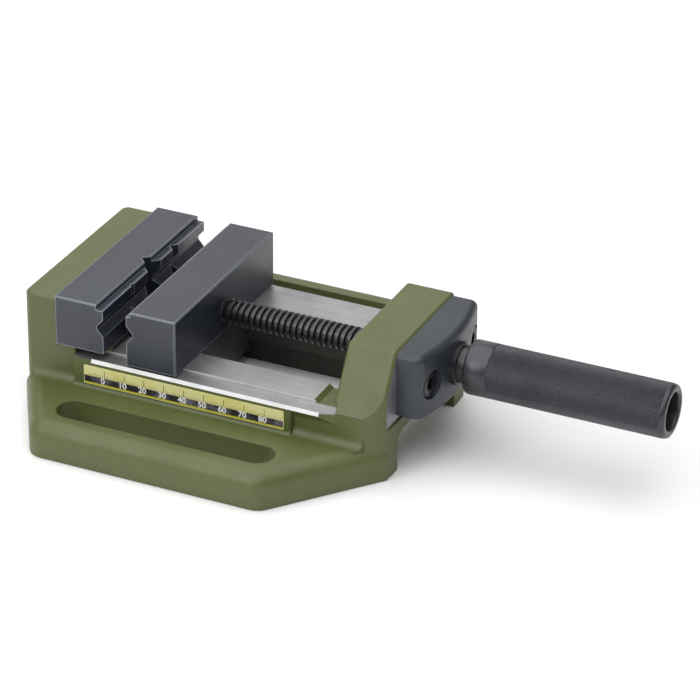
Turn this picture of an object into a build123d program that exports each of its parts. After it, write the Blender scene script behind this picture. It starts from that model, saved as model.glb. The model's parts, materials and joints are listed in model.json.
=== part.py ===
"""Low-profile machine vise (drill-press bench vise) with 100 mm jaws, as separate pieces.

Frame: X across the jaws, Y along the spindle (the handle points to -Y), Z up.
The origin is the centre of the base's underside.  Sizes are in millimetres.

How it works: the threaded spindle is pinned to the moving jaw and does not turn.  The hollow
handle turns a flanged nut that the bearing cap holds in the bridge of the body casting, so the
spindle draws the jaw along the ways and runs back inside the handle as the jaw opens.
"""

import os

from build123d import *

# ---- driving dimensions -------------------------------------------------------------------
JAW_WIDTH = 100.0
JAW_THICKNESS = 24.5
JAW_TOP = 59.1
JAW_CHAMFER = 0.5
FIXED_LEDGE = (3.3, 2.5)  # width and depth of the work-rest step along the top of the grip face
MOVING_LEDGE = (1.9, 2.4)
FIXED_GRIP_Y = 47.7
OPENING = 11.7  # distance between the grip faces as modelled
GROOVE_Z = 47.7  # horizontal V groove in the grip faces
GROOVE_HALF = 4.2
GROOVE_DEPTH = 3.0
GROOVE_FLAT = 0.75  # half height of the flat at the groove's bottom

BASE_HALF_WIDTH = 91.5
BASE_HALF_LENGTH = 89.0
FLANGE_TOP = 17.0
FLANGE_ROUNDING = 7.5
FLANGE_FRONT_Y = -49.5  # where the front corner cuts begin
FLANGE_REAR_Y = 63.5  # where the rear corner cuts begin
FRONT_HALF = 42.5  # half width of the base at its front face
SLOT_WIDTH = 16.0
SLOT_LENGTH = 107.0
SLOT_X = 72.3
SLOT_Y = 5.6

BODY_HALF = 48.5
PAD_HALF = 51.0  # the wall thickening that carries the ledge and the scale
PAD_REAR, PAD_FRONT = 63.0, -46.0
WAY_Z = 32.1
WAY_OUTER = 41.5
WAY_FRONT = -53.0
RELIEF_Z = 30.4
LEDGE_Z = 31.2
LEDGE_FRONT = -66.5
LIP_FOOT_Z = 26.0  # where the flared lip under the ledge leaves the wall, ahead of the pad
CHANNEL_HALF = 25.5
WAY_UNDERSIDE = 14.5
UNDERCUT_HALF = 33.0
UNDERCUT_REAR = 62.0
SEAT_Z = 35.0  # under the fixed jaw
REAR_BLOCK_TOP = 57.2

FRONT_CORNER_RADIUS = 12.0
REAR_CORNER_RADIUS = 4.0
COVE_RADIUS = 4.0
PAD_COVE_RADIUS = 1.8  # small, because the scale plate starts just above it
COVE_FRONT, COVE_REAR = -80.0, 86.0
COVE_INSET = 3.0  # from the outline of the flanges
BEAD_REAR, BEAD_FRONT = 54.0, -59.5
BRIDGE_REAR = -64.6
BRIDGE_TOP = 59.0
BRIDGE_TOP_HALF = 31.5
BRIDGE_SHOULDER_Z = 31.3  # where the sloped sides meet the walls
MILLED_Y = -88.0  # machined face that the cap sits on
MILLED_Z = 24.5
ARCH_HALF = 31.5
ARCH_TOP = 18.4
ARCH_RADIUS = 6.0

AXIS_Z = 42.0
SPINDLE_D = 12.0
SPINDLE_NECK_D = 10.0
SPINDLE_TIP_Y = 27.0
SPINDLE_NECK_Y = 10.5
SPINDLE_END_Y = -130.0
JOURNAL_D = 18.0
FLANGE_D = 27.0
NECK_D = 20.0
SPIGOT_D = 17.2
WASHER_D = 29.0
WASHER_T = 2.0
COUNTERBORE_DEPTH = 10.0
RUNNING = 0.05  # radial clearance of the turning fits
SLIDE = 0.1  # clearance of the sliding faces

CAP_HALF = 32.0
CAP_BOTTOM, CAP_TOP = 27.5, 58.2
CAP_END_Y, CAP_CENTRE_Y = -99.5, -104.3
CAP_SCREW_X = 23.0

HANDLE_D = 25.0
HANDLE_START, HANDLE_END = -110.5, -205.5

SCALE_LENGTH, SCALE_HEIGHT, SCALE_THICKNESS = 100.0, 9.2, 0.4
SCALE_ZERO_INSET = 9.6  # from the rear end of the scale plate to its zero line
SCALE_BOTTOM = 19.0

M5, M8 = 5.0, 8.0
M5_HEAD, M8_HEAD = 8.5, 13.0
M8_CLEARANCE, M8_COUNTERBORE = 8.6, 14.0
M5_WASHER, M5_WASHER_T = 9.2, 1.2
FIT = 0.01  # radial gap of screws and dowels in their holes

JAW_SCREW_X, JAW_SCREW_Z = 30.0, 47.0
JAW_SCREW_SEAT, JAW_SCREW_GRIP, JAW_SCREW_LENGTH = 9.0, 15.5, 22.0
JAW_DOWEL_X, JAW_DOWEL_Y = 38.0, 61.0
DOWEL_D, DOWEL_LENGTH = 6.0, 16.0
JAW_NOTCHES = ((-21.0, 1.3), (0.0, 6.6), (21.0, 3.0))  # place and half width of the upright V notches

CAP_SCREW_SEAT_Y = -92.5
CAP_SCREW_LENGTH, CAP_SCREW_GRIP = 20.0, 15.5
CAP_DOWEL_D, CAP_DOWEL_LENGTH = 5.0, 12.0
CAP_DOWELS = ((-25.0, 52.0), (25.0, 32.0))

NUT_REAR = -67.0
NECK_END = -106.4
SPIGOT_END = -128.0
NUT_RELIEF_D = 13.4
NUT_THREAD_END = -98.0
GRUB_Y = -117.0
GRUB_D = 4.0
GRUB_ANGLES = (100, 190)

GUIDE_LENGTH = 21.0
KEEPER_HALF = 31.0
KEEPER_THICKNESS = 6.0
KEEPER_SCREW_X, KEEPER_SCREW_DY = 15.0, 5.5
KEEPER_SCREW_LENGTH, KEEPER_SCREW_GRIP = 38.0, 15.0
GUIDE_DOWEL_X, GUIDE_DOWEL_D, GUIDE_DOWEL_LENGTH = 21.0, 5.0, 14.0
LOCK_PIN_Y, LOCK_PIN_D, LOCK_PIN_LENGTH = 21.0, 4.0, 16.0

MOVING_GRIP_Y = FIXED_GRIP_Y - OPENING
FIXED_BACK_Y = FIXED_GRIP_Y + JAW_THICKNESS
MOVING_BACK_Y = MOVING_GRIP_Y - JAW_THICKNESS
JAW_MID_Y = MOVING_GRIP_Y - JAW_THICKNESS / 2
cap_dowel_places = [(x, MILLED_Y, z) for x, z in CAP_DOWELS]

# turns of a hole or screw along +Z to stand on another side
FROM_BEHIND, FROM_FRONT, FROM_BELOW = (-90, 0, 0), (90, 0, 0), (180, 0, 0)


def mirrored(points):
    """A closed outline from the points of its +X half, listed front to rear."""
    return points + [(-x, y) for x, y in reversed(points)]


def spots(places, axis_turn=(0, 0, 0)):
    """Locations at the given places, all turned alike."""
    return Locations(*[Location(place, axis_turn) for place in places])


def pair(x, y, z):
    """Two places mirrored across the middle plane."""
    return (-x, y, z), (x, y, z)


def save(piece, name):
    """Label a finished piece and write its STEP file."""
    piece.part.label = name
    export_step(piece.part, f"parts/{name}.step")


os.makedirs("parts", exist_ok=True)

# ---- body casting -----------------------------------------------------------------------------
base_outline = mirrored(
    [
        (FRONT_HALF, -BASE_HALF_LENGTH),
        (BASE_HALF_WIDTH, FLANGE_FRONT_Y),
        (BASE_HALF_WIDTH, FLANGE_REAR_Y),
        (BODY_HALF, BASE_HALF_LENGTH),
    ]
)
bridge_outline = mirrored([(BODY_HALF, 0), (BODY_HALF, BRIDGE_SHOULDER_Z), (BRIDGE_TOP_HALF, BRIDGE_TOP)])

# flanged base plate with cut corners and rounded rims
with BuildPart() as base_plate:
    with BuildSketch(Plane.XY):
        Polygon(*base_outline, align=None)
    extrude(amount=FLANGE_TOP)
    upright = base_plate.edges().filter_by(Axis.Z)
    fillet(upright.filter_by_position(Axis.Y, FLANGE_FRONT_Y - 1, FLANGE_FRONT_Y + 1), radius=9)
    fillet(upright.filter_by_position(Axis.Y, FLANGE_REAR_Y - 1, FLANGE_REAR_Y + 1), radius=9)
    fillet(base_plate.faces().sort_by(Axis.Z)[-1].outer_wire().edges(), radius=FLANGE_ROUNDING)
    fillet(base_plate.faces().sort_by(Axis.Z)[0].outer_wire().edges(), radius=1)

# walls up to the ways, with large plan radii at the front corners
with BuildPart() as walls:
    with BuildSketch(Plane.XY):
        Rectangle(2 * BODY_HALF, 2 * BASE_HALF_LENGTH)
    extrude(amount=WAY_Z)
    fillet(walls.edges().filter_by(Axis.Z).group_by(Axis.Y)[0], radius=FRONT_CORNER_RADIUS)
    fillet(walls.edges().filter_by(Axis.Z).group_by(Axis.Y)[-1], radius=REAR_CORNER_RADIUS)

# wall thickenings that carry the ledges and the scale
with BuildPart() as pads:
    with BuildSketch(Plane.XY):
        with Locations((0, (PAD_REAR + PAD_FRONT) / 2)):
            RectangleRounded(2 * PAD_HALF, PAD_REAR - PAD_FRONT, 1.5)
    extrude(amount=LEDGE_Z)

# rear block behind the fixed jaw
with BuildPart() as rear_block:
    with BuildSketch(Plane.XY):
        with Locations((0, (FIXED_BACK_Y + BASE_HALF_LENGTH) / 2)):
            Rectangle(2 * BODY_HALF, BASE_HALF_LENGTH - FIXED_BACK_Y)
    extrude(amount=REAR_BLOCK_TOP)
    fillet(rear_block.edges().filter_by(Axis.Z).group_by(Axis.Y)[-1], radius=REAR_CORNER_RADIUS)
    rim = rear_block.faces().sort_by(Axis.Z)[-1].outer_wire().edges()
    fillet(rim.filter_by_position(Axis.Y, FIXED_BACK_Y + 0.1, BASE_HALF_LENGTH + 1), radius=1.8)

# bridge with sloped sides; its face towards the cap is machined above the step
with BuildPart() as bridge:
    with BuildSketch(Plane.XZ.offset(-BRIDGE_REAR)):
        Polygon(*bridge_outline, align=None)
    extrude(amount=BASE_HALF_LENGTH + BRIDGE_REAR)
    with BuildSketch(Plane.XY):
        Rectangle(2 * BODY_HALF, 2 * BASE_HALF_LENGTH)
        fillet(vertices(), radius=FRONT_CORNER_RADIUS)
    extrude(amount=BRIDGE_TOP, mode=Mode.INTERSECT)
    along = bridge.edges().filter_by(Axis.Y)
    fillet(along.filter_by_position(Axis.Z, BRIDGE_TOP - 1, BRIDGE_TOP + 1), radius=2.5)
    with BuildSketch(Plane.XZ.offset(-MILLED_Y)):
        with Locations((0, (MILLED_Z + BRIDGE_TOP + 1) / 2)):
            Rectangle(2 * BODY_HALF, BRIDGE_TOP + 1 - MILLED_Z)
    extrude(amount=BASE_HALF_LENGTH, mode=Mode.SUBTRACT)
    top_rear = bridge.edges().filter_by_position(Axis.Y, BRIDGE_REAR - 0.01, BRIDGE_REAR + 0.01)
    fillet(top_rear.filter_by_position(Axis.Z, LEDGE_Z + 4, BRIDGE_TOP + 1), radius=1.5)
    top_front = bridge.edges().filter_by_position(Axis.Y, MILLED_Y - 0.01, MILLED_Y + 0.01)
    chamfer(top_front.filter_by_position(Axis.Z, BRIDGE_SHOULDER_Z + 4, BRIDGE_TOP + 1), length=1)

# cast coves where the walls and the pads stand on the flanges
with BuildPart() as coves:
    for half, radius, y_front, y_rear in (
        (BODY_HALF, COVE_RADIUS, COVE_FRONT, COVE_REAR),
        (PAD_HALF, PAD_COVE_RADIUS, PAD_FRONT, PAD_REAR),
    ):
        with BuildSketch(Plane.XZ.offset(-y_rear)):
            with BuildLine():
                Line((half - 1, FLANGE_TOP - 1), (half - 1, FLANGE_TOP + radius))
                Line((half - 1, FLANGE_TOP + radius), (half, FLANGE_TOP + radius))
                RadiusArc((half, FLANGE_TOP + radius), (half + radius, FLANGE_TOP), -radius)
                Line((half + radius, FLANGE_TOP), (half + radius, FLANGE_TOP - 1))
                Line((half + radius, FLANGE_TOP - 1), (half - 1, FLANGE_TOP - 1))
            make_face()
        extrude(amount=y_rear - y_front)
    mirror(about=Plane.YZ)
    # the coves die out where the corner cuts of the flanges reach the walls
    with BuildSketch(Plane.XY):
        Polygon(*base_outline, align=None)
        offset(amount=-COVE_INSET)
    extrude(amount=FLANGE_TOP + COVE_RADIUS + 1, mode=Mode.INTERSECT)

# flared lips that carry the ledges forward from the pads to the bridge
with BuildPart() as lips:
    with BuildSketch(Plane.XZ.offset(-PAD_FRONT - 1)):
        Polygon(
            (BODY_HALF - 1, LIP_FOOT_Z),
            (BODY_HALF, LIP_FOOT_Z),
            (PAD_HALF, LEDGE_Z - 1.8),
            (PAD_HALF, LEDGE_Z),
            (BODY_HALF - 1, LEDGE_Z),
            align=None,
        )
    extrude(amount=PAD_FRONT + 1 - LEDGE_FRONT)
    with BuildSketch(Plane.XY):
        Polygon(
            (BODY_HALF - 1, PAD_FRONT + 1),
            (PAD_HALF, PAD_FRONT + 1),
            (PAD_HALF, BEAD_FRONT),
            (BODY_HALF + 0.1, LEDGE_FRONT),
            (BODY_HALF - 1, LEDGE_FRONT),
            align=None,
        )
    extrude(amount=LEDGE_Z, mode=Mode.INTERSECT)
    mirror(about=Plane.YZ)

with BuildPart() as body_casting:
    add([base_plate.part, walls.part, pads.part, rear_block.part, bridge.part, coves.part, lips.part])
    # machined face for the bearing cap, across the walls as well
    with BuildSketch(Plane.XZ.offset(-MILLED_Y)):
        with Locations((0, (MILLED_Z + BRIDGE_TOP) / 2)):
            Rectangle(2 * BODY_HALF, BRIDGE_TOP - MILLED_Z)
    extrude(amount=BASE_HALF_LENGTH, mode=Mode.SUBTRACT)
    # seat of the fixed jaw
    with BuildSketch(Plane.XY.offset(LEDGE_Z - 1)):
        with Locations((0, (FIXED_GRIP_Y + FIXED_BACK_Y + 1) / 2)):
            Rectangle(2 * BODY_HALF, FIXED_BACK_Y + 1 - FIXED_GRIP_Y)
    extrude(amount=SEAT_Z - LEDGE_Z + 1)
    # ledges outside the ways
    with BuildSketch(Plane.XY.offset(LEDGE_Z)):
        for side in (-1, 1):
            with Locations((side * (WAY_OUTER + PAD_HALF + 1) / 2, (PAD_REAR + LEDGE_FRONT) / 2)):
                Rectangle(PAD_HALF + 1 - WAY_OUTER, PAD_REAR - LEDGE_FRONT)
    extrude(amount=SEAT_Z - LEDGE_Z, mode=Mode.SUBTRACT)
    # cast relief between the front ends of the ways and the bridge
    for start in (-WAY_OUTER - 1, CHANNEL_HALF - 1):
        with BuildSketch(Plane.YZ.offset(start)):
            Polygon(
                (WAY_FRONT, WAY_Z),
                (WAY_FRONT, WAY_Z + 1),
                (BRIDGE_REAR, WAY_Z + 1),
                (BRIDGE_REAR, RELIEF_Z),
                (WAY_FRONT - 2, RELIEF_Z),
                align=None,
            )
        extrude(amount=WAY_OUTER - CHANNEL_HALF + 2, mode=Mode.SUBTRACT)
    # bright chamfers along the outer edges of the ledges
    with BuildSketch(Plane.XZ.offset(-BEAD_REAR)):
        for side in (-1, 1):
            Polygon(
                (side * (PAD_HALF - 0.9), LEDGE_Z + 0.1),
                (side * (PAD_HALF + 0.1), LEDGE_Z + 0.1),
                (side * (PAD_HALF + 0.1), LEDGE_Z - 1.8),
                align=None,
            )
    extrude(amount=BEAD_REAR - BEAD_FRONT, mode=Mode.SUBTRACT)
    # channel between the ways, undercut for the keeper, and the arch at the front
    with BuildSketch(Plane.XY):
        with Locations((0, (FIXED_GRIP_Y + BRIDGE_REAR) / 2)):
            Rectangle(2 * CHANNEL_HALF, FIXED_GRIP_Y - BRIDGE_REAR)
    extrude(amount=WAY_Z + 1, mode=Mode.SUBTRACT)
    with BuildSketch(Plane.XY):
        with Locations((0, (UNDERCUT_REAR + BRIDGE_REAR) / 2)):
            RectangleRounded(2 * UNDERCUT_HALF, UNDERCUT_REAR - BRIDGE_REAR, 4)
    extrude(amount=WAY_UNDERSIDE, mode=Mode.SUBTRACT)
    with BuildSketch(Plane.XZ.offset(-BRIDGE_REAR - 1)):
        with Locations((0, 0)):
            RectangleRounded(2 * ARCH_HALF, 2 * ARCH_TOP, ARCH_RADIUS)
    extrude(amount=BASE_HALF_LENGTH, mode=Mode.SUBTRACT)
    # clamping slots through the flanges
    with BuildSketch(Plane.XY):
        with Locations((-SLOT_X, SLOT_Y), (SLOT_X, SLOT_Y)):
            SlotOverall(SLOT_LENGTH, SLOT_WIDTH, rotation=90)
    extrude(amount=FLANGE_TOP + 1, mode=Mode.SUBTRACT)
    # spindle hole, journal bore and counterbore for the nut's flange
    with Locations(Location((0, MILLED_Y, AXIS_Z), (90, 0, 0))):
        CounterBoreHole(
            radius=JOURNAL_D / 2 + RUNNING,
            counter_bore_radius=WASHER_D / 2 + SLIDE,
            counter_bore_depth=COUNTERBORE_DEPTH,
            depth=-MILLED_Y + BRIDGE_REAR + 1,
        )
    # holes for the fixed jaw's screws, from behind, and for its dowels
    with spots(pair(JAW_SCREW_X, BASE_HALF_LENGTH, JAW_SCREW_Z), FROM_BEHIND):
        CounterBoreHole(
            radius=M8_CLEARANCE / 2,
            counter_bore_radius=M8_COUNTERBORE / 2,
            counter_bore_depth=JAW_SCREW_SEAT,
            depth=BASE_HALF_LENGTH - FIXED_BACK_Y + 1,
        )
    with spots(pair(JAW_DOWEL_X, JAW_DOWEL_Y, SEAT_Z)):
        Hole(DOWEL_D / 2, depth=DOWEL_LENGTH / 2)
    # tapped holes and dowel holes for the bearing cap
    with spots(pair(CAP_SCREW_X, MILLED_Y, AXIS_Z), FROM_FRONT):
        Hole(M8 / 2, depth=CAP_SCREW_GRIP)
    with spots(cap_dowel_places, FROM_FRONT):
        Hole(CAP_DOWEL_D / 2, depth=CAP_DOWEL_LENGTH / 2)
save(body_casting, "body_casting")


def jaw(grip_y, back_y, bottom, direction, ledge):
    """Outline of a jaw across its width: direction points from the back to the grip face."""
    ledge_width, ledge_depth = ledge
    return [
        (back_y, bottom),
        (back_y, JAW_TOP),
        (grip_y - direction * ledge_width, JAW_TOP),
        (grip_y - direction * ledge_width, JAW_TOP - ledge_depth),
        (grip_y, JAW_TOP - ledge_depth),
        (grip_y, GROOVE_Z + GROOVE_HALF),
        (grip_y - direction * GROOVE_DEPTH, GROOVE_Z + GROOVE_FLAT),
        (grip_y - direction * GROOVE_DEPTH, GROOVE_Z - GROOVE_FLAT),
        (grip_y, GROOVE_Z - GROOVE_HALF),
        (grip_y, bottom),
    ]


# ---- fixed jaw: ledge, horizontal groove and three upright V notches ---------------------------
with BuildPart() as fixed_jaw:
    with BuildSketch(Plane.YZ.offset(-JAW_WIDTH / 2)):
        Polygon(*jaw(FIXED_GRIP_Y, FIXED_BACK_Y, SEAT_Z, -1, FIXED_LEDGE), align=None)
    extrude(amount=JAW_WIDTH)
    chamfer(fixed_jaw.edges().filter_by_position(Axis.Z, JAW_TOP - 0.01, JAW_TOP + 0.01), length=JAW_CHAMFER)
    chamfer(fixed_jaw.edges().filter_by(Axis.Z).group_by(Axis.Y)[-1], length=JAW_CHAMFER)
    for x, half in JAW_NOTCHES:
        with BuildSketch(Plane.XY.offset(SEAT_Z)):
            Polygon(
                (x - half - 1, FIXED_GRIP_Y - 1),
                (x + half + 1, FIXED_GRIP_Y - 1),
                (x, FIXED_GRIP_Y + half),
                align=None,
            )
        extrude(amount=JAW_TOP - SEAT_Z, mode=Mode.SUBTRACT)
    with spots(pair(JAW_SCREW_X, FIXED_BACK_Y, JAW_SCREW_Z), FROM_BEHIND):
        Hole(M8 / 2, depth=JAW_SCREW_GRIP)
    with spots(pair(JAW_DOWEL_X, JAW_DOWEL_Y, SEAT_Z), FROM_BELOW):
        Hole(DOWEL_D / 2, depth=DOWEL_LENGTH / 2)
save(fixed_jaw, "fixed_jaw")


def cap_screw(size, head_d, head_h, length, socket):
    """Socket-head screw along +Z with the underside of its head at the origin."""
    with BuildPart() as screw:
        with BuildSketch(Plane.XY):
            Circle(size / 2 - FIT)
        extrude(amount=-length)
        chamfer(screw.edges().group_by(Axis.Z)[0], length=size / 8)
        with BuildSketch(Plane.XY):
            Circle(head_d / 2)
        extrude(amount=head_h)
        chamfer(screw.edges().group_by(Axis.Z)[-1], length=size / 12)
        with BuildSketch(Plane.XY.offset(head_h)):
            RegularPolygon(socket / 2, 6, major_radius=False)
        extrude(amount=-0.6 * head_h, mode=Mode.SUBTRACT)
    return screw.part


def dowel(diameter, length):
    """Dowel pin along Z, centred on the origin."""
    with BuildPart() as pin:
        Cylinder(diameter / 2 - FIT, length - 2 * FIT)
        chamfer(pin.edges().filter_by(GeomType.CIRCLE), length=0.5)
    return pin.part


with BuildPart() as fixed_jaw_screws:
    with spots(pair(JAW_SCREW_X, BASE_HALF_LENGTH - JAW_SCREW_SEAT, JAW_SCREW_Z), FROM_BEHIND):
        add(cap_screw(M8, M8_HEAD, M8, JAW_SCREW_LENGTH, 6))
save(fixed_jaw_screws, "fixed_jaw_screws")

with BuildPart() as fixed_jaw_dowels:
    with spots(pair(JAW_DOWEL_X, JAW_DOWEL_Y, SEAT_Z)):
        add(dowel(DOWEL_D, DOWEL_LENGTH))
save(fixed_jaw_dowels, "fixed_jaw_dowels")

# ---- bearing cap: bowed front, counterbored for two socket-head screws --------------------------
with BuildPart() as bearing_cap:
    with BuildSketch(Plane.XY.offset(CAP_BOTTOM)):
        with BuildLine():
            Polyline(
                (-CAP_HALF, CAP_END_Y),
                (-CAP_HALF, MILLED_Y),
                (CAP_HALF, MILLED_Y),
                (CAP_HALF, CAP_END_Y),
            )
            ThreePointArc((CAP_HALF, CAP_END_Y), (0, CAP_CENTRE_Y), (-CAP_HALF, CAP_END_Y))
        make_face()
    extrude(amount=CAP_TOP - CAP_BOTTOM)
    fillet(bearing_cap.edges().filter_by(Axis.Z).group_by(Axis.Y)[0], radius=4)
    cap_front = bearing_cap.edges().filter_by_position(Axis.Y, CAP_CENTRE_Y - 1, MILLED_Y - 0.5)
    fillet(cap_front.filter_by_position(Axis.Z, CAP_TOP - 0.01, CAP_TOP + 0.01), radius=3.3)
    cap_front = bearing_cap.edges().filter_by_position(Axis.Y, CAP_CENTRE_Y - 1, MILLED_Y - 0.5)
    fillet(cap_front.filter_by_position(Axis.Z, CAP_BOTTOM - 0.01, CAP_BOTTOM + 0.01), radius=1)
    with Locations(Location((0, CAP_CENTRE_Y, AXIS_Z), (90, 0, 0))):
        Hole(NECK_D / 2 + RUNNING)
    for x in (-CAP_SCREW_X, CAP_SCREW_X):
        with BuildSketch(Plane.XZ.offset(-CAP_SCREW_SEAT_Y)):
            with Locations((x, AXIS_Z)):
                Circle(M8_COUNTERBORE / 2)
        extrude(amount=20, mode=Mode.SUBTRACT)
        with BuildSketch(Plane.XZ.offset(-MILLED_Y)):
            with Locations((x, AXIS_Z)):
                Circle(M8_CLEARANCE / 2)
        extrude(amount=20, mode=Mode.SUBTRACT)
    with spots(cap_dowel_places, FROM_BEHIND):
        Hole(CAP_DOWEL_D / 2, depth=CAP_DOWEL_LENGTH / 2)
save(bearing_cap, "bearing_cap")

with BuildPart() as cap_screws:
    with spots(pair(CAP_SCREW_X, CAP_SCREW_SEAT_Y, AXIS_Z), FROM_FRONT):
        add(cap_screw(M8, M8_HEAD, M8, CAP_SCREW_LENGTH, 6))
save(cap_screws, "cap_screws")

with BuildPart() as cap_dowels:
    with spots(cap_dowel_places, FROM_FRONT):
        add(dowel(CAP_DOWEL_D, CAP_DOWEL_LENGTH))
save(cap_dowels, "cap_dowels")

# ---- drive nut between two thrust washers --------------------------------------------------------
def turned(*outline):
    """Solid of revolution about the spindle axis from (radius, y) points."""
    with BuildPart() as solid:
        with BuildSketch(Plane.XY.offset(AXIS_Z)):
            Polygon(*outline, align=None)
        revolve(axis=Axis((0, 0, AXIS_Z), (0, 1, 0)))
    return solid


washer_rear_y = MILLED_Y + COUNTERBORE_DEPTH
thrust_washer_rear = turned(
    (JOURNAL_D / 2 + SLIDE, washer_rear_y),
    (WASHER_D / 2, washer_rear_y),
    (WASHER_D / 2, washer_rear_y - WASHER_T),
    (JOURNAL_D / 2 + SLIDE, washer_rear_y - WASHER_T),
)
save(thrust_washer_rear, "thrust_washer_rear")

thrust_washer_front = turned(
    (NECK_D / 2 + SLIDE, MILLED_Y + WASHER_T),
    (WASHER_D / 2, MILLED_Y + WASHER_T),
    (WASHER_D / 2, MILLED_Y),
    (NECK_D / 2 + SLIDE, MILLED_Y),
)
save(thrust_washer_front, "thrust_washer_front")

thread_r = SPINDLE_D / 2 + RUNNING
flange_rear = washer_rear_y - WASHER_T - RUNNING
flange_front = MILLED_Y + WASHER_T + RUNNING
drive_nut = turned(
    (thread_r, NUT_REAR),
    (JOURNAL_D / 2 - 1, NUT_REAR),
    (JOURNAL_D / 2, NUT_REAR - 1),
    (JOURNAL_D / 2, flange_rear),
    (FLANGE_D / 2, flange_rear),
    (FLANGE_D / 2, flange_front),
    (NECK_D / 2, flange_front),
    (NECK_D / 2, NECK_END + 0.5),
    (NECK_D / 2 - 0.5, NECK_END),
    (SPIGOT_D / 2, NECK_END),
    (SPIGOT_D / 2, SPIGOT_END + 1),
    (SPIGOT_D / 2 - 1, SPIGOT_END),
    (NUT_RELIEF_D / 2, SPIGOT_END),
    (NUT_RELIEF_D / 2, NUT_THREAD_END),
    (thread_r, NUT_THREAD_END - NUT_RELIEF_D / 2 + thread_r),
)
save(drive_nut, "drive_nut")

# ---- handle: knurled tube, smooth band at the neck, open bore -----------------------------------
handle = turned(
    (SPIGOT_D / 2, HANDLE_START),
    (HANDLE_D / 2 - 1, HANDLE_START),
    (HANDLE_D / 2, HANDLE_START - 1),
    (HANDLE_D / 2, HANDLE_END + 1.2),
    (HANDLE_D / 2 - 1.2, HANDLE_END),
    (SPIGOT_D / 2 + 1.2, HANDLE_END),
    (SPIGOT_D / 2, HANDLE_END + 1.2),
)
with handle:
    with Locations(*[Location((0, GRUB_Y, AXIS_Z), (0, angle, 0)) for angle in GRUB_ANGLES]):
        with Locations((0, 0, HANDLE_D / 2)):
            Hole(GRUB_D / 2, depth=HANDLE_D / 2 - SPIGOT_D / 2 + 0.5)
save(handle, "handle")

with BuildPart() as handle_grub_screws:
    for angle in GRUB_ANGLES:
        with Locations(Location((0, GRUB_Y, AXIS_Z), (0, angle, 0))):
            with Locations((0, 0, (HANDLE_D / 2 + SPIGOT_D / 2) / 2 - 0.4)):
                Cylinder(GRUB_D / 2 - FIT, (HANDLE_D - SPIGOT_D) / 2 - 0.8)
save(handle_grub_screws, "handle_grub_screws")

# ---- moving jaw with guide block and keeper ------------------------------------------------------
jaw_bottom = WAY_Z + SLIDE
keeper_top = WAY_UNDERSIDE - SLIDE
keeper_bottom = keeper_top - KEEPER_THICKNESS
keeper_rows = (JAW_MID_Y - KEEPER_SCREW_DY, JAW_MID_Y + KEEPER_SCREW_DY)


def keeper_spots(z):
    """The four places of the keeper's screws at one height."""
    return [place for y in keeper_rows for place in pair(KEEPER_SCREW_X, y, z)]


with BuildPart() as moving_jaw:
    with BuildSketch(Plane.YZ.offset(-JAW_WIDTH / 2)):
        Polygon(*jaw(MOVING_GRIP_Y, MOVING_BACK_Y, jaw_bottom, 1, MOVING_LEDGE), align=None)
    extrude(amount=JAW_WIDTH)
    chamfer(moving_jaw.edges().filter_by_position(Axis.Z, JAW_TOP - 0.01, JAW_TOP + 0.01), length=JAW_CHAMFER)
    chamfer(moving_jaw.edges().filter_by(Axis.Z).group_by(Axis.Y)[0], length=JAW_CHAMFER)
    with Locations(Location((0, MOVING_BACK_Y, AXIS_Z), (90, 0, 0))):
        Hole(SPINDLE_NECK_D / 2, depth=SPINDLE_TIP_Y - MOVING_BACK_Y)
    with spots(keeper_spots(jaw_bottom), FROM_BELOW):
        Hole(M5 / 2, depth=KEEPER_SCREW_GRIP)
    with spots(pair(GUIDE_DOWEL_X, JAW_MID_Y, jaw_bottom), FROM_BELOW):
        Hole(GUIDE_DOWEL_D / 2, depth=GUIDE_DOWEL_LENGTH / 2)
    with spots([(0, LOCK_PIN_Y, jaw_bottom)], FROM_BELOW):
        Hole(LOCK_PIN_D / 2, depth=LOCK_PIN_LENGTH)
save(moving_jaw, "moving_jaw")

with BuildPart() as guide_block:
    with BuildSketch(Plane.XY.offset(keeper_top)):
        with Locations((0, JAW_MID_Y)):
            RectangleRounded(2 * (CHANNEL_HALF - SLIDE), GUIDE_LENGTH, 1.5)
    extrude(amount=jaw_bottom - keeper_top)
    with spots(keeper_spots(jaw_bottom)):
        Hole(M5 / 2)
    with spots(pair(GUIDE_DOWEL_X, JAW_MID_Y, jaw_bottom)):
        Hole(GUIDE_DOWEL_D / 2, depth=GUIDE_DOWEL_LENGTH / 2)
save(guide_block, "guide_block")

with BuildPart() as guide_dowels:
    with spots(pair(GUIDE_DOWEL_X, JAW_MID_Y, jaw_bottom)):
        add(dowel(GUIDE_DOWEL_D, GUIDE_DOWEL_LENGTH))
save(guide_dowels, "guide_dowels")

with BuildPart() as keeper_plate:
    with BuildSketch(Plane.XY.offset(keeper_bottom)):
        with Locations((0, JAW_MID_Y)):
            RectangleRounded(2 * KEEPER_HALF, GUIDE_LENGTH, 2)
    extrude(amount=KEEPER_THICKNESS)
    with spots(keeper_spots(keeper_top)):
        Hole(M5 / 2)
save(keeper_plate, "keeper_plate")

with BuildPart() as keeper_washers:
    with BuildSketch(Plane.XY.offset(keeper_bottom)):
        with Locations(*[(x, y) for x, y, z in keeper_spots(keeper_bottom)]):
            Circle(M5_WASHER / 2)
            Circle(M5 / 2, mode=Mode.SUBTRACT)
    extrude(amount=-M5_WASHER_T)
save(keeper_washers, "keeper_washers")

with BuildPart() as keeper_screws:
    with spots(keeper_spots(keeper_bottom - M5_WASHER_T), FROM_BELOW):
        add(cap_screw(M5, M5_HEAD, M5, KEEPER_SCREW_LENGTH, 4))
save(keeper_screws, "keeper_screws")

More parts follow.
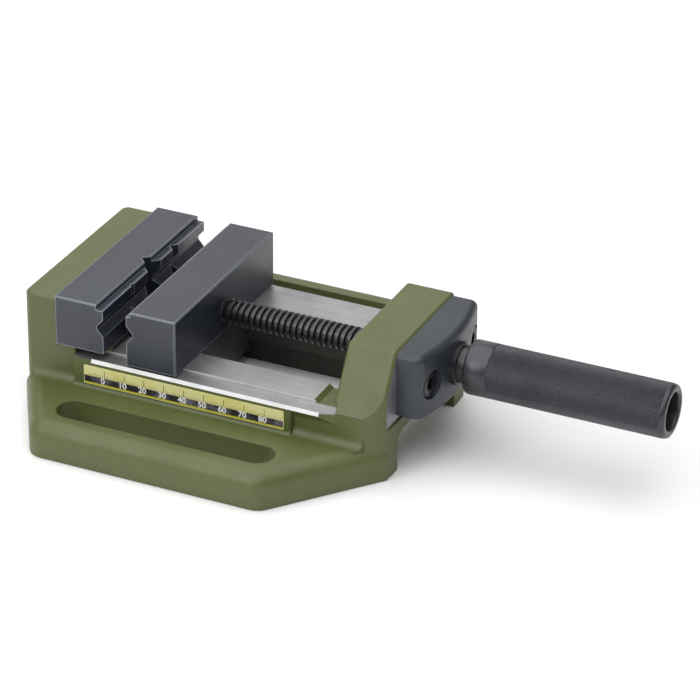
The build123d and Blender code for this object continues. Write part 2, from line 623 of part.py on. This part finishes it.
# ---- spindle, plain over its thread's crests ------------------------------------------------------
spindle = turned(
    (0, SPINDLE_TIP_Y),
    (SPINDLE_NECK_D / 2 - FIT - 1, SPINDLE_TIP_Y),
    (SPINDLE_NECK_D / 2 - FIT, SPINDLE_TIP_Y - 1),
    (SPINDLE_NECK_D / 2 - FIT, SPINDLE_NECK_Y),
    (SPINDLE_D / 2, SPINDLE_NECK_Y - 1),
    (SPINDLE_D / 2, SPINDLE_END_Y + 1.5),
    (SPINDLE_D / 2 - 1.5, SPINDLE_END_Y),
    (0, SPINDLE_END_Y),
)
with spindle:
    with Locations((0, LOCK_PIN_Y, AXIS_Z)):
        Hole(LOCK_PIN_D / 2)
save(spindle, "spindle")

with BuildPart() as spindle_lock_pin:
    with Locations((0, LOCK_PIN_Y, jaw_bottom + LOCK_PIN_LENGTH / 2)):
        add(dowel(LOCK_PIN_D, LOCK_PIN_LENGTH))
save(spindle_lock_pin, "spindle_lock_pin")

# ---- scale plate on the -X pad --------------------------------------------------------------------
with BuildPart() as scale_plate:
    with BuildSketch(Plane.YZ.offset(-PAD_HALF - SCALE_THICKNESS)):
        with Locations((FIXED_GRIP_Y + SCALE_ZERO_INSET - SCALE_LENGTH / 2, SCALE_BOTTOM + SCALE_HEIGHT / 2)):
            RectangleRounded(SCALE_LENGTH, SCALE_HEIGHT, 0.5)
    extrude(amount=SCALE_THICKNESS)
save(scale_plate, "scale_plate")
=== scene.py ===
"""Low drill-press vise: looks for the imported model, with knurl, thread, scale and machined faces."""

import json
import math

import bmesh
import bpy
from mathutils import Matrix, Vector


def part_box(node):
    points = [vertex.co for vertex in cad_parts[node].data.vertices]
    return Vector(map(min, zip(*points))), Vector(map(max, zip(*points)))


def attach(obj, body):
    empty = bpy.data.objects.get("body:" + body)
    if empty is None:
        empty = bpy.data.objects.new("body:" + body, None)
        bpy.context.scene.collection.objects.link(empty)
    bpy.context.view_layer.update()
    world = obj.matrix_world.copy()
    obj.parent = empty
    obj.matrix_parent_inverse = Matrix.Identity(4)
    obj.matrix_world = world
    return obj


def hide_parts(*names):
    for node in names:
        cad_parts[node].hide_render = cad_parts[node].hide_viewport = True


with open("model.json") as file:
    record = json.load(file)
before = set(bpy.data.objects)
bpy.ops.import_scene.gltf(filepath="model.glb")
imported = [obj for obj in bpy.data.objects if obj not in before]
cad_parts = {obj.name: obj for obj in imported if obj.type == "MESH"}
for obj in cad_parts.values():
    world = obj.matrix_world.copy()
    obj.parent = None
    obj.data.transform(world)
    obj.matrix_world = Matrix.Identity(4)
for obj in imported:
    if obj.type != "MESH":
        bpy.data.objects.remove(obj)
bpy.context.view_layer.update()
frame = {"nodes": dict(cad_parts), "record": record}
nodes = frame["nodes"]

MM = 0.001
AXIS_Z = 0.042  # height of the spindle's axis
PITCH = 0.003  # lead of the spindle's thread
BODY = {node: body for body, members in frame["record"]["behaviour"]["bodies"].items() for node in members}
SLOT = {part["node"]: part["material_slot"] for part in frame["record"]["subparts"]}

# Camera: angles in degrees, lens and sensor in millimetres, place in metres.
AZIMUTH, ELEVATION, ROLL = -65.3, 28.5, 0.52
LENS, SENSOR = 190.8, 36
CAMERA_PLACE = (-1.3315, -0.6634, 0.8318)

# Spindle: thread depth, the plain neck at its rear end, and how far the thread runs out at each end.
THREAD_DEPTH = 0.0016
THREAD_CREST, THREAD_FLANK = 0.40, 0.14  # shares of the pitch
NECK_LENGTH, NECK_RADIUS = 0.0165, 0.00499
RUNOUT = 0.002
SPINDLE_SIDES, ROWS_PER_TURN = 72, 20

# Handle: bore, plain band at the neck, and the knurl.
HANDLE_BORE = 0.0086
BAND_LENGTH = 0.0112
KNURL_TEETH, KNURL_DEPTH = 62, 0.00043

# Scale: thickness of the ink and height of the numbers.
INK = 0.00003
NUMBER_HEIGHT = 0.0041
SCALE_LENGTH = 90

# Order of the casting's materials.
PAINT, GROUND, EDGE_HIGHLIGHT, RAW_AND_SHADE, LEDGE = range(5)


# ---- materials ------------------------------------------------------------------------------------
def new_material(name):
    """Empty principled material and its shader."""
    material = bpy.data.materials.new(name)
    material.use_nodes = True
    return material, material.node_tree.nodes["Principled BSDF"]


class Graph:
    """Short way to add and join nodes in one material."""

    def __init__(self, material):
        self.tree = material.node_tree
        self.place = self.tree.nodes.new("ShaderNodeTexCoord").outputs["Object"]

    def node(self, kind, **settings):
        made = self.tree.nodes.new("ShaderNode" + kind)
        for key, value in settings.items():
            setattr(made, key, value)
        return made

    def link(self, out, into):
        self.tree.links.new(out, into)

    def feed(self, value, socket):
        """Link an output to a socket, or set the socket to a number or a colour."""
        if isinstance(value, tuple):
            socket.default_value = (*value, 1)
        elif isinstance(value, (float, int)):
            socket.default_value = value
        else:
            self.link(value, socket)

    def stretched(self, scale):
        """Object coordinates scaled by a vector, to draw noise out into streaks."""
        mapping = self.node("Mapping")
        mapping.inputs["Scale"].default_value = scale
        self.link(self.place, mapping.inputs["Vector"])
        return mapping.outputs["Vector"]

    def noise(self, scale, detail=3.0, rough=0.5, where=None):
        made = self.node("TexNoise")
        made.inputs["Scale"].default_value = scale
        made.inputs["Detail"].default_value = detail
        made.inputs["Roughness"].default_value = rough
        self.link(where or self.place, made.inputs["Vector"])
        return made.outputs["Fac"]

    def ramp(self, fac, *stops):
        """Colour ramp between two (position, colour) stops."""
        made = self.node("ValToRGB")
        for element, (position, colour) in zip(made.color_ramp.elements, stops):
            element.position = position
            element.color = (*colour, 1)
        self.link(fac, made.inputs["Fac"])
        return made.outputs["Color"]

    def range(self, value, low, high, to_low, to_high):
        made = self.node("MapRange")
        for name, number in zip(("From Min", "From Max", "To Min", "To Max"), (low, high, to_low, to_high)):
            made.inputs[name].default_value = number
        self.link(value, made.inputs["Value"])
        return made.outputs["Result"]

    def mix(self, fac, a, b):
        """Mix of two colours or colour outputs."""
        made = self.node("Mix", data_type="RGBA")
        for value, name in ((fac, "Factor"), (a, "A"), (b, "B")):
            self.feed(value, made.inputs[name])
        return made.outputs["Result"]

    def math(self, operation, a, b):
        made = self.node("Math", operation=operation)
        self.feed(a, made.inputs[0])
        self.feed(b, made.inputs[1])
        return made.outputs["Value"]

    def bump(self, height, distance, strength, normal=None):
        made = self.node("Bump")
        made.inputs["Distance"].default_value = distance
        made.inputs["Strength"].default_value = strength
        self.link(height, made.inputs["Height"])
        if normal is not None:
            self.link(normal, made.inputs["Normal"])
        return made.outputs["Normal"]

    def rounded(self, radius):
        """Shading normal with every edge rounded by a radius."""
        bevel = self.node("Bevel", samples=4)
        bevel.inputs["Radius"].default_value = radius
        return bevel.outputs["Normal"]

    def edges(self, radius, sharpness=8.0):
        """Near 1 on sharp outside edges and 0 elsewhere, from how a rounded normal leaves the true one."""
        dot = self.node("VectorMath", operation="DOT_PRODUCT")
        self.link(self.rounded(radius), dot.inputs[0])
        self.link(self.node("NewGeometry").outputs["Normal"], dot.inputs[1])
        return self.math("MULTIPLY", self.math("SUBTRACT", 1.0, dot.outputs["Value"]), sharpness)


def green_paint():
    """Thick olive enamel over a sand-cast skin."""
    material, shader = new_material("green_paint")
    g = Graph(material)
    colour = g.ramp(g.noise(24, 4, 0.55), (0.3, (0.080, 0.100, 0.026)), (0.7, (0.093, 0.114, 0.031)))
    specks = g.range(g.noise(900, 2, 0.6), 0.64, 0.82, 0, 0.18)
    g.link(g.mix(specks, colour, (0.20, 0.24, 0.12)), shader.inputs["Base Color"])
    g.link(g.range(g.noise(60, 3), 0.3, 0.7, 0.38, 0.5), shader.inputs["Roughness"])
    skin = g.bump(g.noise(800, 3, 0.6), 0.00022, 0.6, g.rounded(0.0008))
    g.link(g.bump(g.noise(60, 2, 0.5), 0.0007, 0.5, skin), shader.inputs["Normal"])
    shader.inputs["Specular IOR Level"].default_value = 0.58
    return material


def steel(name, dark, light, rough, metal=1.0, streak=None, edge=None, ior=1.5, edge_radius=0.0008):
    """Machined or blackened steel: cloudy tone, faint tool marks along an axis, and bright edges that are
    partly wear and partly a painted highlight.
    """
    material, shader = new_material(name)
    g = Graph(material)
    tone = cloud = g.noise(38, 4, 0.6)
    if streak:
        lines = g.noise(1.0, 3, 0.6, g.stretched(streak))
        tone = g.math("ADD", g.math("MULTIPLY", lines, 0.35), g.math("MULTIPLY", cloud, 0.65))
        g.link(g.bump(lines, 0.00001, 0.4), shader.inputs["Normal"])
    colour = g.ramp(tone, (0.35, dark), (0.65, light))
    # Lighter colour on sharp outside edges: partly wear of the metal, partly a painted highlight.
    if edge:
        colour = g.mix(g.math("MINIMUM", g.edges(edge_radius), 0.85), colour, edge)
    g.link(colour, shader.inputs["Base Color"])
    g.link(g.range(g.noise(300, 3, 0.6), 0.3, 0.7, rough - 0.05, rough + 0.05), shader.inputs["Roughness"])
    shader.inputs["Metallic"].default_value = metal
    shader.inputs["IOR"].default_value = ior
    return material


def enamel(name, colour, second, amount=0.5, scale=240, rough=0.4):
    """Printed ink or enamel, mottled with a second colour: wear and fading on most inks, a painted sheen on
    the black band.
    """
    material, shader = new_material(name)
    g = Graph(material)
    wear_and_sheen = g.range(g.noise(scale, 4, 0.65), 0.45, 0.68, 0, amount)
    g.link(g.mix(wear_and_sheen, colour, second), shader.inputs["Base Color"])
    g.link(g.range(g.noise(500, 2), 0.3, 0.7, rough - 0.08, rough + 0.08), shader.inputs["Roughness"])
    return material


# ---- camera, floor and lights ---------------------------------------------------------------------
def add_camera():
    """Long lens that looks down at the vise from the handle's left."""
    data = bpy.data.cameras.new("camera")
    data.lens = LENS
    data.sensor_width = SENSOR
    data.clip_start, data.clip_end = 0.1, 50
    camera = bpy.data.objects.new("camera", data)
    turn = Matrix.Rotation(math.radians(AZIMUTH), 4, "Z")
    tilt = Matrix.Rotation(math.radians(90 - ELEVATION), 4, "X")
    roll = Matrix.Rotation(math.radians(ROLL), 4, "Z")
    camera.matrix_world = Matrix.Translation(CAMERA_PLACE) @ turn @ tilt @ roll
    bpy.context.collection.objects.link(camera)
    bpy.context.scene.camera = camera


def add_light(name, place, size, power):
    """Square soft box that faces the vise."""
    data = bpy.data.lights.new(name, "AREA")
    data.shape = "SQUARE"
    data.size = size
    data.energy = power
    light = bpy.data.objects.new(name, data)
    light.location = place
    light.rotation_euler = (Vector((0, 0, 0.03)) - Vector(place)).to_track_quat("-Z", "Y").to_euler()
    bpy.context.collection.objects.link(light)


def add_floor(reach=6.0):
    """Plain pale matt floor."""
    mesh = bpy.data.meshes.new("floor_white")
    corners = [(-reach, -reach, 0), (reach, -reach, 0), (reach, reach, 0), (-reach, reach, 0)]
    mesh.from_pydata(corners, [], [(0, 1, 2, 3)])
    floor = bpy.data.objects.new("floor_white", mesh)
    bpy.context.collection.objects.link(floor)
    material, shader = new_material("floor_white")
    shader.inputs["Base Color"].default_value = (0.93, 0.93, 0.93, 1)
    shader.inputs["Roughness"].default_value = 0.9
    shader.inputs["Specular IOR Level"].default_value = 0.1
    mesh.materials.append(material)


def add_studio():
    """Floor, soft boxes and a white surround."""
    add_floor()
    add_light("overhead", (-0.2, 0.1, 1.3), 2.4, 30)
    add_light("behind", (1.4, 0.8, 0.9), 1.5, 4.4)
    add_light("left", (-1.45, 0.72, 0.92), 0.8, 7.2)
    world = bpy.data.worlds.new("surround")
    bpy.context.scene.world = world
    world.use_nodes = True
    background = world.node_tree.nodes["Background"]
    background.inputs["Color"].default_value = (1, 1, 1, 1)
    background.inputs["Strength"].default_value = 0.31
    bpy.context.scene.view_settings.view_transform = "Standard"


# ---- mesh helpers ---------------------------------------------------------------------------------
def add_piece(name, mesh, body, material):
    """Object for a new mesh, riding on a body and finished with the given material."""
    piece = bpy.data.objects.new(name, mesh)
    bpy.context.collection.objects.link(piece)
    mesh.materials.append(material)
    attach(piece, body)
    return piece


def around(radius, angle, y):
    """Point at an angle about the spindle's axis, from +Z towards +X."""
    return (radius * math.sin(angle), y, AXIS_Z + radius * math.cos(angle))


def circle(radius, y, sides):
    """Ring of points about the spindle's axis."""
    return [around(radius, math.tau * i / sides, y) for i in range(sides)]


# ---- spindle --------------------------------------------------------------------------------------
def thread_depth(turn):
    """How deep a trapezoidal thread is at a fraction of its pitch: 0 on the crest, 1 in the root."""
    turn %= 1.0
    if turn < THREAD_CREST:
        return 0.0
    if turn < THREAD_CREST + THREAD_FLANK:
        return (turn - THREAD_CREST) / THREAD_FLANK
    if turn < 1 - THREAD_FLANK:
        return 1.0
    return (1 - turn) / THREAD_FLANK


def closed_tube(name, rings):
    """Smooth mesh over equally long rings of points along the spindle's axis, with both ends closed."""
    count = len(rings[0])
    faces = []
    for row in range(len(rings) - 1):
        for i in range(count):
            a, b = row * count + i, row * count + (i + 1) % count
            faces.append((a, b, b + count, a + count))
    faces.append(tuple(range(count))[::-1])
    faces.append(tuple(range((len(rings) - 1) * count, len(rings) * count)))
    mesh = bpy.data.meshes.new(name)
    mesh.from_pydata([point for ring in rings for point in ring], [], faces)
    mesh.polygons.foreach_set("use_smooth", [True] * len(mesh.polygons))
    mesh.update()
    return mesh


def sharpen(mesh, degrees):
    """Keep edges crisp where two faces meet at more than an angle."""
    work = bmesh.new()
    work.from_mesh(mesh)
    for edge in work.edges:
        if len(edge.link_faces) == 2 and edge.calc_face_angle(0) > math.radians(degrees):
            edge.smooth = False
    work.to_mesh(mesh)
    work.free()


def build_spindle(material):
    """Spindle with a real left-hand trapezoidal thread, a plain neck and turned ends."""
    low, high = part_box("spindle")
    crest = (high.z - low.z) / 2
    neck_start = high.y - NECK_LENGTH
    rings = [circle(0.0045, low.y, SPINDLE_SIDES)]
    rows = round((neck_start - low.y) / PITCH * ROWS_PER_TURN)
    for row in range(rows + 1):
        y = low.y + (neck_start - low.y) * row / rows
        fade = min(1.0, (y - low.y) / RUNOUT + 0.05, (neck_start - y) / RUNOUT + 0.05)
        outer = min(crest, NECK_RADIUS + (crest - NECK_RADIUS) * fade + 0.0002)
        ring = []
        for i in range(SPINDLE_SIDES):
            cut = THREAD_DEPTH * thread_depth(y / PITCH + i / SPINDLE_SIDES)
            ring.append(around(min(outer, crest - cut), math.tau * i / SPINDLE_SIDES, y))
        rings.append(ring)
    neck = ((NECK_RADIUS, neck_start + 0.0002), (NECK_RADIUS, high.y - 0.001), (NECK_RADIUS - 0.001, high.y))
    rings += [circle(radius, y, SPINDLE_SIDES) for radius, y in neck]
    mesh = closed_tube("spindle_threaded", rings)
    piece = add_piece("spindle_threaded", mesh, BODY["spindle"], material)
    sharpen(mesh, 40)
    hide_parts("spindle")


# ---- handle ---------------------------------------------------------------------------------------
def handle_rings(low, high):
    """Rings from the neck to the end and back through the bore, with the numbers of the knurl's outer two."""
    outer = (high.x - low.x) / 2
    sides = 2 * KNURL_TEETH
    step = math.tau / sides
    band_end, knurl_end = high.y - BAND_LENGTH, low.y + 0.0022
    neck = [
        (HANDLE_BORE, high.y),
        (outer - 0.001, high.y),
        (outer - 0.0003, high.y - 0.0004),
        (outer, high.y - 0.001),
        (outer, band_end + 0.0004),
        (outer - 0.00012, band_end + 0.0001),
    ]
    tail = [
        (outer - 0.0002, knurl_end - 0.0003),
        (outer - 0.0003, low.y + 0.0011),
        (outer - 0.0007, low.y + 0.0004),
        (outer - 0.0014, low.y),
        (HANDLE_BORE + 0.0010, low.y),
        (HANDLE_BORE + 0.0002, low.y + 0.0005),
        (HANDLE_BORE, low.y + 0.0013),
        (HANDLE_BORE, high.y),
    ]
    rings = [circle(radius, y, sides) for radius, y in neck]
    first = len(rings)
    rows = round((band_end - knurl_end) / (outer * step))
    for row in range(rows + 1):
        y = band_end + (knurl_end - band_end) * row / rows
        rings.append([around(outer - KNURL_DEPTH * ((i + row) % 2 == 0), step * i, y) for i in range(sides)])
    last = len(rings) - 1
    rings += [circle(radius, y, sides) for radius, y in tail]
    return rings, first, last


def build_handle(material):
    """Tube handle: plain band at the neck, then a fine diamond knurl, with turned ends and an open bore."""
    rings, first, last = handle_rings(*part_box("handle"))
    sides = len(rings[0])
    faces, smooth = [], []
    for row in range(len(rings) - 1):
        knurled = first <= row < last
        for i in range(sides):
            a, b = row * sides + i, row * sides + (i + 1) % sides
            c, d = b + sides, a + sides
            if not knurled:
                made = [(d, c, b, a)]
            elif (i + row - first) % 2 == 0:
                made = [(c, b, a), (d, c, a)]
            else:
                made = [(d, b, a), (d, c, b)]
            faces += made
            smooth += [not knurled] * len(made)
    mesh = bpy.data.meshes.new("handle_knurled")
    mesh.from_pydata([point for ring in rings for point in ring], [], faces)
    mesh.polygons.foreach_set("use_smooth", smooth)
    mesh.update()
    work = bmesh.new()
    work.from_mesh(mesh)
    bmesh.ops.remove_doubles(work, verts=work.verts[:], dist=1e-6)
    bmesh.ops.recalc_face_normals(work, faces=work.faces[:])
    work.to_mesh(mesh)
    work.free()
    piece = add_piece("handle_knurled", mesh, BODY["handle"], material)
    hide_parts("handle")


# ---- scale ----------------------------------------------------------------------------------------
def bars_mesh(name, face, bars):
    """One mesh of flat printed bars on the plate's face, each (y0, z0, y1, z1)."""
    work = bmesh.new()
    for y0, z0, y1, z1 in bars:
        for vert in bmesh.ops.create_cube(work, size=1.0)["verts"]:
            vert.co = Vector((
                face - INK if vert.co.x < 0 else face,
                y0 if vert.co.y < 0 else y1,
                z0 if vert.co.z < 0 else z1,
            ))
    mesh = bpy.data.meshes.new(name)
    work.to_mesh(mesh)
    work.free()
    return mesh


def number_mesh(value):
    """Bold upright number, centred on the origin in the XY plane."""
    text = bpy.data.curves.new("number", "FONT")
    text.body = str(value)
    text.size = NUMBER_HEIGHT
    text.align_x, text.align_y = "CENTER", "CENTER"
    text.extrude = INK / 2
    text.offset = 0.00011
    source = bpy.data.objects.new("number", text)
    bpy.context.collection.objects.link(source)
    bpy.context.view_layer.update()
    mesh = bpy.data.meshes.new_from_object(source)
    bpy.data.objects.remove(source)
    mesh.materials.clear()
    return mesh


def build_scale():
    """Print on the pale yellow plate: ticks, black band with numbers, thin yellow line below."""
    low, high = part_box("scale_plate")
    face = low.x
    zero = high.y - 0.0105
    black_top, black_low = low.z + 0.0043, low.z + 0.0011
    inset = 0.0003
    body, slot = BODY["scale_plate"], SLOT["scale_plate"]
    line = enamel("scale_line", (0.58, 0.54, 0.03), (0.50, 0.46, 0.02))
    # The black band's lighter purple-grey patches are a painted sheen.
    black = enamel("scale_black", (0.016, 0.014, 0.020), (0.26, 0.24, 0.29), 0.75, 110, 0.3)
    grey = enamel("scale_tick", (0.05, 0.045, 0.03), (0.12, 0.11, 0.07))
    white = enamel("scale_white", (0.88, 0.88, 0.86), (0.80, 0.80, 0.80))
    for name, z0, z1, ink in (
        ("scale_band", black_low, black_top, black),
        ("scale_line", low.z + inset, black_low, line),
    ):
        bar = (low.y + inset, z0, high.y - inset, z1)
        add_piece(name, bars_mesh(name, face, [bar]), body, ink)
    ticks = []
    for mark in range(-8, SCALE_LENGTH):
        y = zero - mark * MM
        if low.y + 0.001 < y < high.y - 0.001:
            tall = 0.0036 if mark % 10 == 0 else 0.0020 if mark % 5 == 0 else 0.0012
            wide = 0.00014 if mark % 10 == 0 else 0.00007
            ticks.append((y - wide, black_top, y + wide, black_top + tall))
    add_piece("scale_ticks", bars_mesh("scale_ticks", face, ticks), body, grey)
    upright = Matrix(((0, 0, -1, 0), (-1, 0, 0, 0), (0, 1, 0, 0), (0, 0, 0, 1)))
    for number in range(0, SCALE_LENGTH, 10):
        mesh = number_mesh(number)
        place = (face - INK, zero + 0.0009 - number * MM, (black_top + black_low) / 2)
        mesh.transform(Matrix.Translation(place) @ upright)
        add_piece(f"scale_number_{number}", mesh, body, white)


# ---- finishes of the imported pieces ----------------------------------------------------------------
def finish(node, *materials):
    """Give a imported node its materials."""
    mesh = nodes[node].data
    mesh.materials.clear()
    for material in materials:
        mesh.materials.append(material)


def casting_finish(centre, normal):
    """Finish of a face of the casting, from where it lies in millimetres and which way it faces."""
    x, y, z = abs(centre.x) / MM, centre.y / MM, centre.z / MM
    side, up = abs(normal.x), normal.z
    # Chamfer along the pad's top and the way edge faces get a near-white steel: bare machined metal with a
    # painted highlight.
    bead_highlight = x > 49.9 and y > -60 and 29 < z < 31.3 and side > 0.3 and up > 0.3
    way_edge = 41 < x < 42 and 31.1 < z < 32.2 and side > 0.99
    ledge_top = x > 41.4 and y > -66.6 and 31.0 < z < 31.3 and up > 0.99
    way_top = 32.0 < z < 35.1 and up > 0.99
    cap_seat = -88.5 < y < -87.5 and z > 24.4 and normal.y < -0.99
    nut_bore = y < -60 and math.hypot(centre.x, centre.z - AXIS_Z) < 0.0147 and abs(normal.y) < 0.5
    # The fixed jaw's seat face and the channel walls get a near-black casting: painted shade, in the channel
    # partly unpainted casting too.
    jaw_seat = 46 < y < 50 and normal.y < -0.9
    channel = x < 33.1 and -64.7 < y < 62.1 and 0.1 < z < 31.5 and up < 0.3
    if bead_highlight or way_edge:
        return EDGE_HIGHLIGHT
    if ledge_top:
        return LEDGE
    if way_top or cap_seat or nut_bore:
        return GROUND
    if jaw_seat or channel:
        return RAW_AND_SHADE
    return PAINT


def dress_casting(*materials):
    """Green paint everywhere but on the machined faces; near black inside the channel, partly unpainted
    casting and partly painted shade, and on the fixed jaw's seat face, painted shade.
    """
    finish("body_casting", *materials)
    mesh = nodes["body_casting"].data
    marks = [casting_finish(face.center, face.normal) for face in mesh.polygons]
    mesh.polygons.foreach_set("material_index", marks)
    mesh.update()


paint = green_paint()
ground = steel("ground_steel", (0.32, 0.32, 0.325), (0.43, 0.43, 0.435), 0.42, 0.8, (700, 5, 5))
ledge = steel("ledge_steel", (0.24, 0.24, 0.245), (0.42, 0.42, 0.425), 0.42, 0.8, (1400, 5, 5))
# Near-white steel: bare machined metal made lighter than the ways as a painted highlight.
bead_highlight = steel("bead_steel_painted_highlight", (0.58, 0.58, 0.58), (0.68, 0.68, 0.68), 0.4, 0.3)
# Near-black casting: painted shade, partly the colour of unpainted casting.
raw_and_shade = steel("raw_casting_and_painted_shade", (0.020, 0.021, 0.016), (0.034, 0.036, 0.027), 0.7, 0.0)
# The edge colours of the jaw, cap and handle steels give lighter edges: partly wear, partly painted
# highlight.
jaw_black = steel(
    "jaw_black", (0.012, 0.016, 0.028), (0.019, 0.024, 0.041), 0.34, 0.1, edge=(0.40, 0.42, 0.46), ior=1.7
)
cap_blue = steel(
    "cap_blue", (0.020, 0.025, 0.036), (0.029, 0.035, 0.048), 0.42, 0.12, edge=(0.07, 0.08, 0.10), ior=1.6
)
handle_black = steel(
    "handle_black", (0.029, 0.028, 0.033), (0.054, 0.052, 0.061), 0.33, 0.6,
    edge=(0.22, 0.21, 0.24), ior=1.8, edge_radius=0.00025,
)
spindle_grey = steel("spindle_grey", (0.045, 0.045, 0.049), (0.075, 0.075, 0.081), 0.32, 0.75)
fastener_black = steel("fastener_black", (0.02, 0.02, 0.022), (0.04, 0.04, 0.042), 0.35, 0.7)
# Dark steel: partly the parts' own colour, partly painted shade for the channel they sit in.
dark_steel_and_shade = steel("dark_steel_and_shade", (0.05, 0.05, 0.052), (0.08, 0.08, 0.083), 0.45, 0.6)
bright = steel("bright_steel", (0.36, 0.36, 0.37), (0.44, 0.44, 0.45), 0.34)
bronze = steel("bronze", (0.35, 0.21, 0.08), (0.5, 0.33, 0.13), 0.35)
scale_yellow = enamel("scale_yellow", (0.74, 0.71, 0.33), (0.66, 0.60, 0.10), 0.6, 90)

FINISHES = {
    "green_paint": paint,
    "jaw_steel": jaw_black,
    "cap_steel": cap_blue,
    "bright_steel": bright,
    "handle_steel": handle_black,
    "fastener_steel": fastener_black,
    "bronze": bronze,
    "scale_enamel": scale_yellow,
}
for node, slot in SLOT.items():
    finish(node, FINISHES[slot])
finish("drive_nut", spindle_grey)
# Guide block, keeper plate and washers sit in the channel and get the dark steel, partly as painted shade.
for node in ("guide_block", "keeper_plate", "keeper_washers"):
    finish(node, dark_steel_and_shade)
dress_casting(paint, ground, bead_highlight, raw_and_shade, ledge)
build_spindle(spindle_grey)
build_handle(handle_black)
build_scale()
add_studio()
add_camera()
